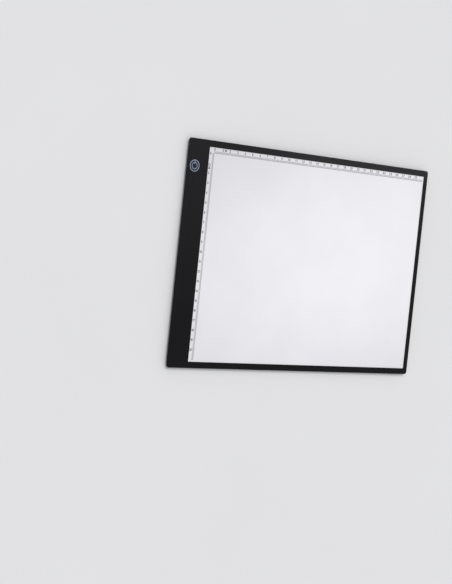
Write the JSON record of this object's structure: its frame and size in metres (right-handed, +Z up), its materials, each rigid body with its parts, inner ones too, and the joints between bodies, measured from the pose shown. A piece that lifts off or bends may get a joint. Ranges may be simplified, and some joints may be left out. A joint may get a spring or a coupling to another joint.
{
  "type": "led light box",
  "caption": "Slim light box for tracing: a lit white drawing panel with a centimetre ruler in a thin black frame, with a touch key on its wide side and a power socket.",
  "frame": {"origin": "middle of the pad on the surface that it lies on, under its rubber feet", "axes": "+X along the long side, from the wide bar with the touch key to the far narrow side, +Y to the long edge with the power socket, beside the key, +Z up, out of the drawing face"},
  "size_m": [0.341, 0.232, 0.006],
  "materials": {
    "frame_plastic": "black moulded plastic with a fine matt grain",
    "cover_plastic": "black moulded plastic, lightly textured",
    "opal_acrylic": "smooth opal white acrylic, lit from below",
    "clear_acrylic": "clear acrylic light guide with a dotted underside",
    "white_film": "white optical film",
    "black_tape": "black double-sided film tape",
    "thermal_tape": "grey thermal tape",
    "rail_aluminium": "extruded aluminium",
    "white_board": "white solder mask",
    "green_board": "green solder mask",
    "led_plastic": "white housing with pale yellow phosphor",
    "chip_epoxy": "moulded epoxy with tinned legs",
    "black_insulator": "black moulded insulator",
    "ferrite": "dark grey sintered ferrite",
    "capacitor_ceramic": "tan ceramic with tinned ends",
    "socket_steel": "plated sheet steel",
    "case_screw_steel": "blackened steel",
    "board_screw_steel": "zinc plated steel",
    "foam": "grey soft foam",
    "key_lens": "dark smoked plastic, lit blue-grey ring and power symbol",
    "wire_red": "red wire insulation",
    "wire_black": "black wire insulation",
    "foot_rubber": "black rubber"
  },
  "bodies": {
    "root": {"front_frame": "frame_plastic", "back_cover": "cover_plastic", "drawing_panel": "opal_acrylic", "panel_tape": "black_tape", "rim_tape": "black_tape", "diffuser_film": "white_film", "light_guide": "clear_acrylic", "reflector_sheet": "white_film", "guide_pad_upper": "foam", "guide_pad_lower": "foam", "led_strip_board": "white_board", "thermal_tape": "thermal_tape", "led_rail": "rail_aluminium", "control_board": "green_board", "usb_shell": "socket_steel", "usb_tongue": "black_insulator", "touch_chip": "chip_epoxy", "driver_chip": "chip_epoxy", "inductor": "ferrite", "input_capacitor": "capacitor_ceramic", "output_capacitor": "capacitor_ceramic", "indicator_led": "led_plastic", "touch_foam": "foam", "key_lens": "key_lens", "wire_positive": "wire_red", "wire_negative": "wire_black", "led_01": "led_plastic", "led_02": "led_plastic", "led_03": "led_plastic", "led_04": "led_plastic", "led_05": "led_plastic", "led_06": "led_plastic", "led_07": "led_plastic", "led_08": "led_plastic", "led_09": "led_plastic", "led_10": "led_plastic", "led_11": "led_plastic", "led_12": "led_plastic", "led_13": "led_plastic", "led_14": "led_plastic", "led_15": "led_plastic", "led_16": "led_plastic", "led_17": "led_plastic", "led_18": "led_plastic", "led_19": "led_plastic", "led_20": "led_plastic", "case_screw_1": "case_screw_steel", "case_screw_2": "case_screw_steel", "case_screw_3": "case_screw_steel", "case_screw_4": "case_screw_steel", "board_screw_1": "board_screw_steel", "board_screw_2": "board_screw_steel", "foot_1": "foot_rubber", "foot_2": "foot_rubber", "foot_3": "foot_rubber", "foot_4": "foot_rubber", "foot_5": "foot_rubber", "foot_6": "foot_rubber"}
  },
  "joints": []
}
